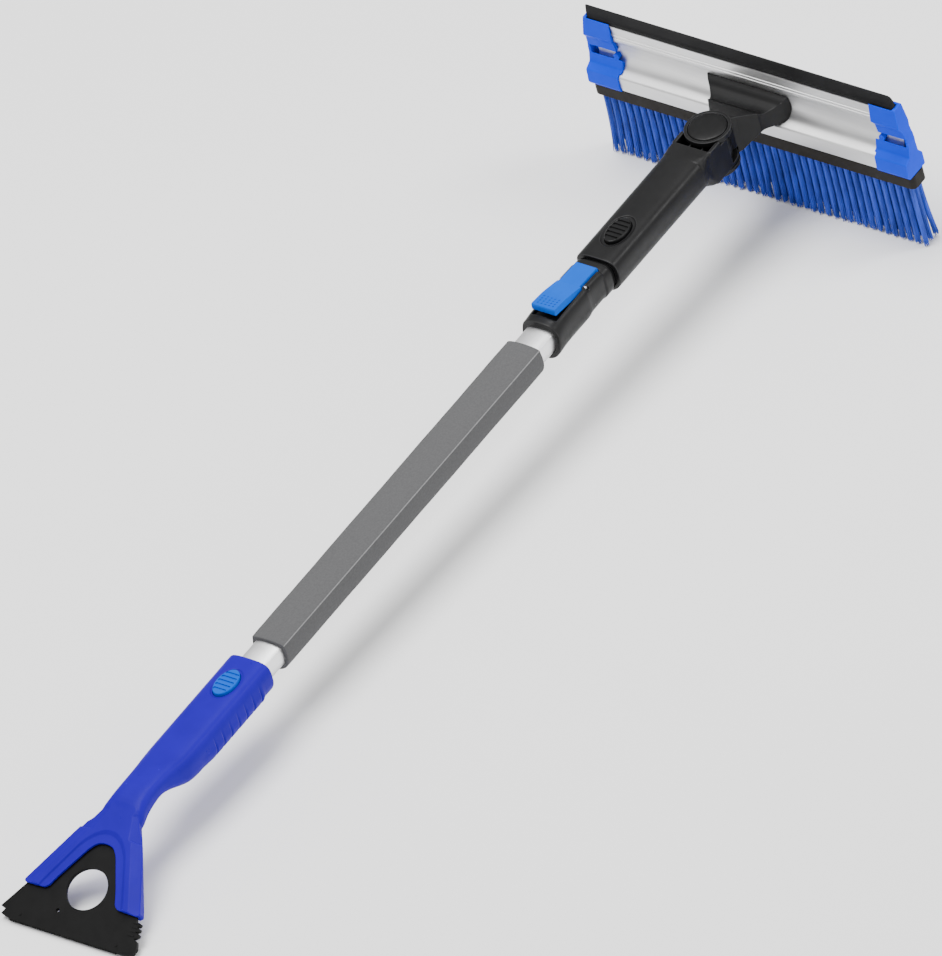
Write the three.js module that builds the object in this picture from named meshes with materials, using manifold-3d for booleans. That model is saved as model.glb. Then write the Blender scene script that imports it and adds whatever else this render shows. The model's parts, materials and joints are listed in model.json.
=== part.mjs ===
// Telescopic snow brush with a pivoting squeegee-and-brush head and an ice scraper in its handle.
// Millimetres. The pole runs along X, from the scraper to the head. Z is up and Y is to the left.
// Everything is drawn in the pole's own frame, with the head's pivot axis at X = 0, and the whole
// tool is then leaned so that it rests on its bristle tips and on the tip of its scraper blade.
import * as THREE from 'three';
import { mergeVertices } from 'three/addons/utils/BufferGeometryUtils.js';
import Module from 'manifold-3d';

const wasm = await Module();
wasm.setup();

// Pole
const gap = 0.3;
const tubeHalfWidth = 11.3;
const tubeCrown = 9;
const tubeBottom = -12;
const tubeWall = 1.2;
const innerTubeInset = 1.6;
const innerTubeWall = 1.1;
const outerTubeStart = -640;
const outerTubeEnd = -162;
const innerTubeStart = -520;
const innerTubeEnd = -45;
const foamStart = -537;
const foamEnd = -226;
const foamThickness = 3;

// Lock housing and lever
const housingStart = -210;
const housingEnd = -141;
const collarEnd = -134;
const leverPinX = -165;
const leverPinZ = 13.2;
const leverPinRadius = 1.25;
const leverHalfWidth = 9.6;
const leverNarrowHalfWidth = 8.4;

// Sleeve and cradle
const sleeveStart = -138;
const sleeveHalfWidth = 17.3;
const sleeveTop = 14;
const sleeveBottom = -15;
const cradleHalfWidth = 15.7;
const cradleWall = 2.6;
const cradleFloorTop = -12.4;
const sleeveButtonX = -110;

// Handle, fork and scraper blade
const handleStart = -558;
const handleButtonX = -585;
const forkTilt = 24 * Math.PI / 180;
const hangHoleX = -763;
const hangHoleZ = -18;
const hangHoleRadius = 15.3;
const forkThickness = 10;
const bladeThickness = 3;

// Push buttons in the sleeve and in the handle
const buttonLength = 25;
const buttonWidth = 15;
const buttonTop = 15.8;

// Pivot
const hubRadius = 12.5;
const ringRadius = 16.5;
const discRadius = 13.6;
const discTop = 16;

// Head
const railHalfLength = 126;
const capHalfLength = 132.3;
const capTopHalfLength = 127.9;
const barHalfLength = 132.4;
const bristleHalfLength = 128;
const bristleTip = -87;
const barTop = -23.1;
const barBottom = -34.1;

const group = new THREE.Group();
const tool = new THREE.Group();
group.add(tool);

function add(name, geometry, color, roughness, metalness) {
  const material = new THREE.MeshStandardMaterial({ color, roughness, metalness });
  const mesh = new THREE.Mesh(geometry, material);
  mesh.name = name;
  tool.add(mesh);
}

const black = (name, geometry) => add(name, geometry, 0x2b2b2c, 0.45, 0);
const steel = (name, geometry) => add(name, geometry, 0xb9bcc0, 0.3, 1);
const silver = (name, geometry) => add(name, geometry, 0xcfd2d6, 0.28, 1);
const azure = (name, geometry) => add(name, geometry, 0x2494f5, 0.4, 0);
const capBlue = (name, geometry) => add(name, geometry, 0x2f6bea, 0.42, 0);
const royal = (name, geometry) => add(name, geometry, 0x2a2fc0, 0.38, 0);

// Joining and cutting closed solids
function toSolid(geometry) {
  const bare = new THREE.BufferGeometry();
  bare.setAttribute('position', geometry.getAttribute('position'));
  if (geometry.index) {
    bare.setIndex(geometry.index);
  }
  const welded = mergeVertices(bare, 1e-4);
  return new wasm.Manifold(new wasm.Mesh({
    numProp: 3,
    vertProperties: new Float32Array(welded.getAttribute('position').array),
    triVerts: new Uint32Array(welded.index.array),
  }));
}

function toGeometry(solid) {
  const mesh = solid.getMesh();
  const geometry = new THREE.BufferGeometry();
  geometry.setAttribute('position', new THREE.BufferAttribute(new Float32Array(mesh.vertProperties), 3));
  geometry.setIndex(new THREE.BufferAttribute(new Uint32Array(mesh.triVerts), 1));
  const flat = geometry.toNonIndexed();
  flat.computeVertexNormals();
  return flat;
}

const cut = (base, ...tools) => tools.reduce((solid, t) => solid.subtract(t), base);
const join = (base, ...others) => others.reduce((solid, o) => solid.add(o), base);

// Basic closed solids
function block(x0, x1, y0, y1, z0, z1) {
  const geometry = new THREE.BoxGeometry(x1 - x0, y1 - y0, z1 - z0);
  geometry.translate((x0 + x1) / 2, (y0 + y1) / 2, (z0 + z1) / 2);
  return toSolid(geometry);
}

function rodZ(x, y, radius, z0, z1, sides = 28) {
  const geometry = new THREE.CylinderGeometry(radius, radius, z1 - z0, sides);
  geometry.rotateX(Math.PI / 2);
  geometry.translate(x, y, (z0 + z1) / 2);
  return toSolid(geometry);
}

function rodY(x, z, radius, y0, y1, sides = 20) {
  const geometry = new THREE.CylinderGeometry(radius, radius, y1 - y0, sides);
  geometry.translate(x, (y0 + y1) / 2, z);
  return toSolid(geometry);
}

function rodX(y, z, radius, x0, x1, sides = 16) {
  const geometry = new THREE.CylinderGeometry(radius, radius, x1 - x0, sides);
  geometry.rotateZ(Math.PI / 2);
  geometry.translate((x0 + x1) / 2, y, z);
  return toSolid(geometry);
}

// A side-view outline (X, Z) made solid between two values of Y
function sideProfile(points, y0, y1) {
  const shape = new THREE.Shape(points.map(([x, z]) => new THREE.Vector2(x, z)));
  const geometry = new THREE.ExtrudeGeometry(shape, { depth: y1 - y0, bevelEnabled: false });
  geometry.rotateX(Math.PI / 2);
  geometry.translate(0, y1, 0);
  return toSolid(geometry);
}

// An oval or other plan-view outline made solid between two heights
function planProfile(points, z0, z1) {
  const shape = new THREE.Shape(points.map(([x, y]) => new THREE.Vector2(x, y)));
  const geometry = new THREE.ExtrudeGeometry(shape, { depth: z1 - z0, bevelEnabled: false });
  geometry.translate(0, 0, z0);
  return toSolid(geometry);
}

function ovalPoints(x, length, width, count = 24) {
  const points = [];
  for (let i = 0; i < count; i += 1) {
    const angle = (i / count) * Math.PI * 2;
    points.push([x + Math.cos(angle) * length / 2, Math.sin(angle) * width / 2]);
  }
  return points;
}

// A closed solid through matching rings of [x, y, z] points
function loft(rings) {
  const count = rings[0].length;
  const positions = rings.flat(2);
  const index = [];
  for (let r = 0; r < rings.length - 1; r += 1) {
    for (let i = 0; i < count; i += 1) {
      const next = (i + 1) % count;
      const a = r * count + i;
      const b = r * count + next;
      index.push(a, b, b + count, a, b + count, a + count);
    }
  }
  const last = (rings.length - 1) * count;
  for (let i = 1; i < count - 1; i += 1) {
    index.push(0, i + 1, i);
    index.push(last, last + i, last + i + 1);
  }
  const geometry = new THREE.BufferGeometry();
  geometry.setAttribute('position', new THREE.Float32BufferAttribute(positions, 3));
  geometry.setIndex(index);
  return toSolid(geometry);
}

// The tube's outline: a low crown over two soft creases, upright sides and a round bottom.
// grow makes it larger all round.
function tubeOutline(grow) {
  const halfWidth = tubeHalfWidth + grow;
  const crown = tubeCrown + grow;
  const bottom = tubeBottom - grow;
  const creaseY = 10.4 + grow * 0.94;
  const creaseZ = 7.4 + grow * 0.9;
  const points = [[0, crown], [-creaseY * 0.55, crown - (crown - creaseZ) * 0.3], [-creaseY, creaseZ]];
  points.push([-halfWidth, creaseZ * 0.35]);
  for (let i = 0; i <= 10; i += 1) {
    const angle = Math.PI + (i / 10) * Math.PI;
    points.push([Math.cos(angle) * halfWidth, Math.sin(angle) * -bottom]);
  }
  points.push([halfWidth, creaseZ * 0.35]);
  points.push([creaseY, creaseZ], [creaseY * 0.55, crown - (crown - creaseZ) * 0.3]);
  return points;
}

const tubeSolid = (grow, x0, x1) => loft([x0, x1].map((x) => tubeOutline(grow).map(([y, z]) => [x, y, z])));

// The moulded grip's section: a flat-topped D with a rounder lower half
function gripRing(section) {
  const { x, halfWidth, top, bottom, middle = 0, topPower = 4, bottomPower = 2, ridge = 0 } = section;
  const count = 28;
  const ring = [];
  for (let i = 0; i < count; i += 1) {
    const angle = Math.PI / 2 + (i / count) * Math.PI * 2;
    const c = Math.cos(angle);
    const s = Math.sin(angle);
    const power = s >= 0 ? topPower : bottomPower;
    const height = s >= 0 ? top - middle : middle - bottom;
    const reach = (Math.abs(c) ** power + Math.abs(s) ** power) ** (-1 / power);
    const finger = c > 0 ? 0 : ridge * Math.max(0, Math.cos(angle - Math.PI * 1.12)) ** 6;
    ring.push([x, c * reach * (halfWidth + finger), middle + s * reach * (height + finger)]);
  }
  return ring;
}

const grip = (sections) => loft(sections.map(gripRing));

// Pole: outer tube, foam, inner tube and its end pieces
const outerTube = cut(
  tubeSolid(0, outerTubeStart, outerTubeEnd),
  tubeSolid(-tubeWall, outerTubeStart - 1, outerTubeEnd + 1),
  planProfile(ovalPoints(handleButtonX, buttonLength + 0.8, buttonWidth + 0.8), 0, 20),
);
silver('outer_tube', toGeometry(outerTube));

const foam = cut(tubeSolid(foamThickness, foamStart, foamEnd), tubeSolid(0.1, foamStart - 1, foamEnd + 1));
add('foam_grip', toGeometry(foam), 0x757678, 0.95, 0);

const innerTube = cut(
  tubeSolid(-innerTubeInset, innerTubeStart, innerTubeEnd),
  tubeSolid(-innerTubeInset - innerTubeWall, innerTubeStart - 1, innerTubeEnd + 1),
  planProfile(ovalPoints(sleeveButtonX, buttonLength + 0.8, buttonWidth + 0.8), 0, 20),
);
silver('inner_tube', toGeometry(innerTube));

const guideBush = join(
  tubeSolid(-innerTubeInset - innerTubeWall - gap, innerTubeStart - 3, innerTubeStart + 14),
  tubeSolid(-tubeWall - 0.25, innerTubeStart - 6, innerTubeStart - gap),
);
black('inner_tube_guide', toGeometry(guideBush));

const endPlug = tubeSolid(-tubeWall - gap, outerTubeStart + 0.5, outerTubeStart + 12);
black('outer_tube_plug', toGeometry(endPlug));

// Lock housing: it holds the outer tube's end, carries the lever and passes the inner tube
const housingShell = grip([
  { x: housingStart, halfWidth: 15.6, top: 14.4, bottom: -15.2, topPower: 3 },
  { x: housingStart + 6, halfWidth: 15.2, top: 14.6, bottom: -14.8, topPower: 3.1 },
  { x: -196, halfWidth: 14.8, top: 15.2, bottom: -14.3, topPower: 3.8 },
  { x: -170, halfWidth: 14.8, top: 15.4, bottom: -14.3, topPower: 5 },
  { x: -166, halfWidth: 13.8, top: 15.4, bottom: -12.2, topPower: 5 },
  { x: -149, halfWidth: 13.8, top: 14.6, bottom: -12.2, topPower: 5 },
]);
const housingFlange = grip([
  { x: -149.5, halfWidth: 14.6, top: 13.6, bottom: -13.9 },
  { x: housingEnd, halfWidth: 14.6, top: 13.4, bottom: -13.9 },
]);
const housingCollar = grip([
  { x: housingEnd - 1, halfWidth: 13.2, top: 10.6, bottom: -12.6 },
  { x: collarEnd, halfWidth: 13.2, top: 10.6, bottom: -12.6 },
]);
const lockHousing = cut(
  join(housingShell, housingFlange, housingCollar),
  tubeSolid(gap, housingStart - 1, outerTubeEnd + gap),
  tubeSolid(-innerTubeInset + 0.35, outerTubeEnd - 1, collarEnd + 1),
  sideProfile([[-215, 20], [-207.4, 20], [-207.4, 6], [-210, -8], [-215, -8]], -20, 20),
  block(-201.2, -167.6, -leverHalfWidth - 0.5, leverHalfWidth + 0.5, 10.4, 30),
  block(-169, -146.2, -leverNarrowHalfWidth - 0.5, leverNarrowHalfWidth + 0.5, 10.2, 30),
  block(-153.6, -147.2, -4.4, 4.4, 5, 12),
  rodY(leverPinX, leverPinZ, leverPinRadius + gap, -20, 20),
);
black('lock_housing', toGeometry(lockHousing));

steel('lever_pin', toGeometry(rodY(leverPinX, leverPinZ, leverPinRadius, -10.9, 10.9)));

const leverThumb = sideProfile([
  [-199.4, 16.8], [-199.4, 20.8], [-198, 21.9], [-186, 20.8], [-175, 18.4], [-168.5, 16.8],
  [-168.5, 11.3], [-173, 12.6], [-180, 14.4],
], -leverHalfWidth, leverHalfWidth);
const leverNose = sideProfile([
  [-169, 16.9], [-147.6, 15.9], [-146.9, 15.2], [-146.9, 12.2], [-148.8, 11.2], [-148.8, 7.75],
  [-153.2, 7.75], [-153.2, 11.3], [-169, 11.3],
], -leverNarrowHalfWidth, leverNarrowHalfWidth);
const toothTrim = [
  block(-154, -148, -12, -4, 7, 10.9),
  block(-154, -148, 4, 12, 7, 10.9),
];
const lever = cut(
  join(leverThumb, cut(leverNose, ...toothTrim)),
  rodY(leverPinX, leverPinZ, leverPinRadius + 0.08, -20, 20),
  rodZ(-190, 0, 3.4, 5, 17.6, 16),
);
azure('lock_lever', toGeometry(lever));

// Coil springs: a wire drawn along a rising helix
function coil(x, y, radius, wire, z0, z1, turns) {
  const steps = turns * 10;
  const path = [];
  for (let i = 0; i <= steps; i += 1) {
    const angle = (i / 10) * Math.PI * 2;
    const z = z0 + wire + (z1 - z0 - wire * 2) * (i / steps);
    path.push(new THREE.Vector3(x + Math.cos(angle) * radius, y + Math.sin(angle) * radius, z));
  }
  const wireShape = new THREE.Shape(ovalPoints(0, wire * 2, wire * 2, 6).map(([a, b]) => new THREE.Vector2(a, b)));
  const curve = new THREE.CatmullRomCurve3(path);
  const geometry = new THREE.ExtrudeGeometry(wireShape, { steps, extrudePath: curve, bevelEnabled: false });
  return toGeometry(toSolid(geometry));
}

steel('lever_spring', coil(-190, 0, 2.3, 0.35, 10.7, 17.3, 4));

// Oval push button on a leaf spring inside a tube
function pushButton(x, flangeTop, flangeWidth) {
  const pad = planProfile(ovalPoints(x, buttonLength, buttonWidth), flangeTop - 0.5, buttonTop);
  const flange = block(x - 15, x + 15, -flangeWidth / 2, flangeWidth / 2, flangeTop - 1.5, flangeTop);
  const grooves = [];
  for (let i = -2; i <= 2; i += 1) {
    grooves.push(block(x + i * 3.9 - 0.75, x + i * 3.9 + 0.75, -5.6, 5.6, buttonTop - 0.8, buttonTop + 1));
  }
  return cut(join(pad, flange), ...grooves);
}

function leafSpring(x, top, floor) {
  return sideProfile([
    [x + 12, top], [x - 18, top], [x - 26, (top + floor) / 2], [x - 18, floor], [x + 12, floor],
    [x + 12, floor + 0.6], [x - 17.7, floor + 0.6], [x - 25.2, (top + floor) / 2],
    [x - 17.7, top - 0.6], [x + 12, top - 0.6],
  ], -4, 4);
}

// Sleeve: a hollow moulding round the inner tube, ending in a cradle for the head's hub
const sleeveOuter = grip([
  { x: sleeveStart, halfWidth: 16.7, top: 13.4, bottom: -14.4 },
  { x: sleeveStart + 1.2, halfWidth: sleeveHalfWidth, top: sleeveTop, bottom: sleeveBottom },
  { x: -36, halfWidth: sleeveHalfWidth, top: sleeveTop, bottom: sleeveBottom },
  { x: -28, halfWidth: 16.6, top: 13.9, bottom: sleeveBottom, topPower: 7, bottomPower: 2.3 },
  { x: -24, halfWidth: cradleHalfWidth, top: 13.7, bottom: sleeveBottom, topPower: 14, bottomPower: 6 },
  { x: -20, halfWidth: cradleHalfWidth, top: 13.7, bottom: sleeveBottom, topPower: 16, bottomPower: 16 },
]);
const sleeveHollow = grip([
  { x: -124, halfWidth: sleeveHalfWidth - 2.6, top: sleeveTop - 2.6, bottom: sleeveBottom + 2.2 },
  { x: -52, halfWidth: sleeveHalfWidth - 2.6, top: sleeveTop - 2.6, bottom: sleeveBottom + 2.2 },
]);
const sleeveMouth = grip([
  { x: sleeveStart - 1, halfWidth: 13.8, top: 11.2, bottom: -13.2 },
  { x: collarEnd + 1, halfWidth: 13.8, top: 11.2, bottom: -13.2 },
]);
const cradleBox = block(-20.5, -1, -cradleHalfWidth, cradleHalfWidth, sleeveBottom, 13.7);
const ringRoom = join(rodZ(0, 0, ringRadius + 0.4, 10.6, 20, 36), block(-9, 10, -20, 20, 10.6, 20));
const cradleInside = cut(
  block(-20, 5, -cradleHalfWidth + cradleWall, cradleHalfWidth - cradleWall, cradleFloorTop, 30),
  block(-21, -14.6, 4.4, 5.6, cradleFloorTop - 1, 9.8),
  block(-21, -14.6, -5.6, -4.4, cradleFloorTop - 1, 9.8),
);
const cradleFloor = rodZ(0, 0, cradleHalfWidth, sleeveBottom, cradleFloorTop);
const sleeve = cut(
  join(cut(join(sleeveOuter, cradleBox), cradleInside, ringRoom), cradleFloor),
  tubeSolid(-innerTubeInset + 0.15, sleeveStart - 1, innerTubeEnd + 0.4),
  sleeveHollow,
  sleeveMouth,
  planProfile(ovalPoints(sleeveButtonX, buttonLength + 0.8, buttonWidth + 0.8), 0, 20),
  rodZ(0, 0, 3.4, -20, -10, 20),
);
black('sleeve', toGeometry(sleeve));

black('sleeve_button', toGeometry(pushButton(sleeveButtonX, 5, 11)));
steel('sleeve_button_spring', toGeometry(leafSpring(sleeveButtonX, 3.2, -7.6)));

// Handle: a moulded grip on the outer tube, a waist, and a fork that holds the scraper blade
const handleSections = [
  { x: handleStart, halfWidth: 16.7, top: 13.4, bottom: -14.4 },
  { x: handleStart - 1.2, halfWidth: sleeveHalfWidth, top: sleeveTop, bottom: sleeveBottom },
];
const ridgeStart = -574;
const ridgePitch = 9;
for (let i = 0; i < 7; i += 1) {
  for (const [offset, ridge] of [[1.5, 1.1], [0, 0], [-1.5, 1.1]]) {
    const x = ridgeStart - i * ridgePitch + offset;
    handleSections.push({ x, halfWidth: sleeveHalfWidth, top: sleeveTop, bottom: sleeveBottom, ridge });
  }
}
handleSections.push(
  { x: -645, halfWidth: sleeveHalfWidth, top: sleeveTop, bottom: sleeveBottom },
  { x: -657, halfWidth: 17, top: 14.2, bottom: -12.6 },
  { x: -666, halfWidth: 15.8, top: 14.8, bottom: -8.2, middle: 2.5, topPower: 4 },
  { x: -675, halfWidth: 14.3, top: 15.3, bottom: -3.6, middle: 5.5, topPower: 4 },
  { x: -684, halfWidth: 13.5, top: 15.5, bottom: -0.8, middle: 7.3, topPower: 4 },
  { x: -694, halfWidth: 13.6, top: 15.4, bottom: -1.4, middle: 6.6, topPower: 4 },
  { x: -704, halfWidth: 14.6, top: 13.8, bottom: -2.2, middle: 5, topPower: 4 },
  { x: -714, halfWidth: 16.4, top: 9.1, bottom: -3.6, middle: 2.5, topPower: 4 },
  { x: -727, halfWidth: 14.6, top: 3.2, bottom: -5.5, middle: -1, topPower: 4 },
);
const gripBody = grip(handleSections.reverse());

// The fork lies in the blade's own tilted plane: u runs down the blade, v across it
function intoForkPlane(geometry) {
  geometry.scale(-1, -1, 1);
  geometry.rotateY(-forkTilt);
  geometry.translate(hangHoleX, 0, hangHoleZ);
  return geometry;
}

function forkPoint(u, v, height) {
  const x = hangHoleX - u * Math.cos(forkTilt) - height * Math.sin(forkTilt);
  const z = hangHoleZ - u * Math.sin(forkTilt) + height * Math.cos(forkTilt);
  return [x, v, z];
}

function forkPlate(points, low, high, bevel = 0) {
  const shape = new THREE.Shape(points.map(([u, v]) => new THREE.Vector2(u, -v)));
  const options = { depth: high - low - bevel * 2, bevelEnabled: bevel > 0, bevelSegments: 1 };
  options.bevelSize = bevel;
  options.bevelThickness = bevel;
  options.bevelOffset = -bevel;
  const geometry = new THREE.ExtrudeGeometry(shape, options);
  geometry.translate(0, 0, low + bevel);
  return toSolid(intoForkPlane(geometry));
}

function forkRod(u, v, radius, low, high, sides) {
  const geometry = new THREE.CylinderGeometry(radius, radius, high - low, sides);
  geometry.rotateX(Math.PI / 2);
  geometry.translate(u, -v, (low + high) / 2);
  return toSolid(intoForkPlane(geometry));
}

const mirrored = (half) => [...half, ...half.map(([u, v]) => [u, -v]).reverse()];

const forkOutline = mirrored([
  [-64, 8], [-60, 13], [-52, 16.6], [-47, 19.4], [-43.5, 24], [6.5, 47.4], [8.4, 45.4], [8, 29.6],
  [5.4, 26.8], [-3, 23.2], [-27, 10.6], [-31.4, 6.6], [-32.8, 2.4],
]);
const archRecess = mirrored([[20, 39.5], [0, 31.6], [-30, 18], [-38, 11.5], [-42.5, 4]]);
const bladeSlot = mirrored([
  [-36, 4], [-32, 13], [-10, 30], [3.6, 38], [5.4, 43.9], [13, 48.6], [28.4, 57], [37, 46],
]);
const half = forkThickness / 2;

// Each arm's upper face slopes down towards its outer edge
const armAngle = 25.1 * Math.PI / 180;
const slopeAngle = 18 * Math.PI / 180;
function armSlope(side) {
  const geometry = new THREE.BoxGeometry(82, 16, 8);
  geometry.translate(23, -side * 7, 4);
  geometry.rotateX(side * slopeAngle);
  geometry.rotateZ(-side * armAngle);
  geometry.translate(-40.2, -side * 17.1, half);
  return toSolid(intoForkPlane(geometry));
}

// Each arm's outer side leans in towards its underside, most of all at the waist
function armDraft(side) {
  const rings = [-20, 62].map((along) => {
    const corner = (out, height) => {
      const u = -43.5 + along * Math.cos(armAngle) - out * Math.sin(armAngle);
      const v = side * (24 + along * Math.sin(armAngle) + out * Math.cos(armAngle));
      return forkPoint(u, v, height);
    };
    const leaning = (height) => 0.5 * (height - 4) + 0.075 * (along + 5);
    return [corner(leaning(-9), -9), corner(14, -9), corner(14, 9), corner(leaning(9), 9)];
  });
  return loft(side > 0 ? rings.reverse() : rings);
}

// The neck's shoulders end in two flat facets that run out on the arms
function shoulderFacet(side) {
  const rims = [[-74, 12, 5.4], [-57.6, 9.8, 5], [-40.5, 14.4, 5]];
  const feet = [[-74, 15, -1], [-53.5, 17.6, 2.9], [-39.5, 15.4, 4.9]];
  const rings = rims.map(([u, v, height], i) => {
    const [footU, footV, footHeight] = feet[i];
    return [
      forkPoint(u, side * v, height), forkPoint(footU, side * footV, footHeight),
      forkPoint(footU, side * (footV + 12), footHeight - 3.9), forkPoint(u, side * (v + 14), height + 9),
    ];
  });
  return loft(side > 0 ? rings.reverse() : rings);
}

const fork = cut(
  forkPlate(forkOutline, -half, half, 0.8),
  armSlope(1),
  armSlope(-1),
  armDraft(1),
  armDraft(-1),
);
const handle = cut(
  join(gripBody, fork),
  shoulderFacet(1),
  shoulderFacet(-1),
  forkPlate(archRecess, half - 1, half + 6),
  forkPlate(bladeSlot, -bladeThickness / 2 - gap, bladeThickness / 2 + gap),
  tubeSolid(0.15, outerTubeStart - 0.4, handleStart + 5),
  planProfile(ovalPoints(handleButtonX, buttonLength + 0.8, buttonWidth + 0.8), 0, 20),
  forkRod(-6, 30, 2.2, -half - 2, half - 2, 16),
  forkRod(-6, -30, 2.2, -half - 2, half - 2, 16),
);
royal('handle', toGeometry(handle));

azure('handle_button', toGeometry(pushButton(handleButtonX, 6.4, 12)));
steel('handle_button_spring', toGeometry(leafSpring(handleButtonX, 4.6, -9.2)));

// Scraper blade: pointed corners on one side, side teeth on the other, a serrated tip and a hang hole
function bladePoints() {
  const points = [[-35, -3.6], [-35, 3.6], [-31, 12.4], [-10, 29.6], [4, 37.6], [6, 43.6]];
  points.push([28.4, 55.6], [29.4, 51.4], [33.4, 53], [35, 46]);
  for (let i = 0; i < 22; i += 1) {
    const v = 44 - i * 4;
    points.push([35.2, v + 1], [36.2, v], [35.2, v - 1]);
  }
  points.push([35.6, -46], [34.6, -54], [29, -56], [24, -53.6], [23, -50.4]);
  for (let i = 0; i < 3; i += 1) {
    const u = 20.4 - i * 3.6;
    points.push([u, -53.2 + i * 1.2], [u - 1.6, -53 + i * 1.2], [u - 2, -49.2 + i * 1.2]);
  }
  points.push([9, -45.4], [6, -43.6], [4, -37.6], [-10, -29.6], [-31, -12.4]);
  return points;
}
const blade = cut(
  forkPlate(bladePoints(), -bladeThickness / 2, bladeThickness / 2),
  forkRod(0, 0, hangHoleRadius, -5, 5, 32),
  forkRod(20, 13.5, 1.5, -5, 5, 12),
  forkRod(-6, 30, 2.2, -5, 5, 16),
  forkRod(-6, -30, 2.2, -5, 5, 16),
);
black('scraper_blade', toGeometry(blade));

function bladeScrew(side) {
  const head = forkRod(-6, side * 30, 3.6, -half - 2.2, -half - gap, 16);
  return toGeometry(join(head, forkRod(-6, side * 30, 1.9, -half - 1, half - 2.3, 12)));
}
steel('blade_screw_left', bladeScrew(1));
steel('blade_screw_right', bladeScrew(-1));

// Head: aluminium extrusion with a slot for the squeegee above and a channel for the brush bar below
const webFront = new THREE.SplineCurve([
  new THREE.Vector2(48, 14), new THREE.Vector2(49.2, 7), new THREE.Vector2(48.9, 0),
  new THREE.Vector2(45.9, -6.4), new THREE.Vector2(40.3, -10.2),
]).getPoints(9).map((p) => [p.x, p.y]);
const extrusionOutline = [
  [45, 31.7], [45.3, 24.2], [44.9, 24], [45.2, 23.4], [45.5, 18.8], ...webFront,
  [39.4, -12], [39.4, -18.6], [40.6, -22.8], [45.2, -22.8], [45.2, -20.9], [42.4, -20.9], [42.4, -14],
  [54.6, -14], [54.6, -20.9], [51.8, -20.9], [51.8, -22.8], [56, -22.8], [56, -13.4], [51.6, -8.4],
  [51.2, 0], [51.4, 8], [50.8, 15.5], [51.6, 19], [50.8, 31.7], [49.2, 31.7], [49.2, 25.2],
  [50, 24.6], [50, 21.6], [45.9, 21.6], [45.9, 24.6], [46.7, 25.2], [46.7, 31.7],
];
const studZ = 2;
const studY = 109.6;
const screwY = [-26, -10, 10, 26];
const screwHoles = screwY.map((y) => rodX(y, 4, 2.2, 44, 56));
const studHoles = [studY, -studY].map((y) => rodX(y, studZ, 2.6, 44, 56));
const extrusion = cut(sideProfile(extrusionOutline, -railHalfLength, railHalfLength), ...screwHoles, ...studHoles);
silver('head_extrusion', toGeometry(extrusion));

const squeegeeHalfLength = 126.8;
const squeegeeOutline = [
  [46.3, 22], [49.6, 22], [49.6, 24.2], [48.9, 25], [48.9, 32.1], [50.2, 32.5], [50.2, 33.6],
  [48.9, 35.5], [48.9, 42.7], [47.7, 42.7], [46.7, 35.5], [45.6, 33.6], [45.6, 32.5], [47, 32.1], [47, 25],
  [46.3, 24.2],
];
const squeegee = cut(
  sideProfile(squeegeeOutline, -squeegeeHalfLength, squeegeeHalfLength),
  block(40, 60, 125.6, 130, 20, 34.8),
  block(40, 60, -130, -125.6, 20, 34.8),
  toSolid(squeegeeCorner(-1)),
);
function squeegeeCorner(side) {
  const shape = new THREE.Shape([
    new THREE.Vector2(side * 122, 43), new THREE.Vector2(side * 128, 43), new THREE.Vector2(side * 128, 37),
    new THREE.Vector2(side * 125.6, 40.6),
  ]);
  const geometry = new THREE.ExtrudeGeometry(shape, { depth: 10, bevelEnabled: false });
  geometry.rotateX(Math.PI / 2);
  geometry.rotateZ(Math.PI / 2);
  geometry.translate(43, 0, 0);
  return geometry;
}
add('squeegee_blade', toGeometry(squeegee), 0x28282a, 0.7, 0);

// End caps: each slides over the extrusion's end, and its stud snaps into a hole in the web
const capOutline = [
  [44.2, 34.4], [42.2, 19.5], [44.6, 15.5], [45.6, 8], [45.4, 0], [43.7, -6.4], [38.2, -9.6],
  [37.6, -20], [39, -22.8], [57.6, -22.8], [57.6, -12.6], [54, -7.6], [53.6, 0], [53.8, 8],
  [53.2, 14.8], [54.2, 19.4], [53.2, 34.4],
];
const cavityOutline = [
  [44.6, 36], [44.6, 24], [45.1, 18.6], ...webFront.map(([x, z]) => [x - gap, z - 0.1]),
  [39.1, -12], [39.1, -18.6], [40.3, -24], [56.3, -24], [56.3, -13.2], [51.9, -8.2], [51.5, 0],
  [51.7, 8], [51.1, 15.5], [51.9, 19], [51.1, 36],
];
const capWindowReach = 130;
const capWindow = [[30, 0.9], [45.4, 0.9], [49.5, -4.2], [50, -4.2], [50, 7.5], [30, 7.5]];

function endCap(side) {
  const between = (a, b) => [Math.min(a, b), Math.max(a, b)];
  const slab = (from, to, x0, x1, z0, z1) => block(x0, x1, ...between(side * from, side * to), z0, z1);
  const shell = sideProfile(capOutline, ...between(side * capHalfLength, side * 104.5));
  const cavity = sideProfile(cavityOutline, ...between(side * (railHalfLength + gap), side * 95));
  const endRoom = sideProfile([
    [47.4, 13], [48.6, 7], [48.3, 0], [45.6, -6.4], [40, -10.4], [40, -19], [54.6, -19], [54.6, -12],
    [51.2, -7.6], [51, 8], [50.6, 13],
  ], ...between(side * capWindowReach, side * 120));
  const slant = planProfile([
    [-40, side * capTopHalfLength], [-4, side * capHalfLength], [-4, side * 140], [-40, side * 140],
  ], 30, 70).rotate([0, 90, 0]);
  const body = cut(
    shell,
    cavity,
    endRoom,
    slant,
    slab(95, 107, 30, 70, 19, 40),
    slab(95, 108, 30, 50, 7.5, 19),
    sideProfile(capWindow, ...between(side * capWindowReach, side * 95)),
    slab(95, 106, 30, 70, -40, -8),
    slab(95, 105.5, 50, 70, -9, 20),
  );
  return toGeometry(join(body, rodX(side * studY, studZ, 2.3, 46, 52.6)));
}
capBlue('end_cap_left', endCap(1));
capBlue('end_cap_right', endCap(-1));

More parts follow.
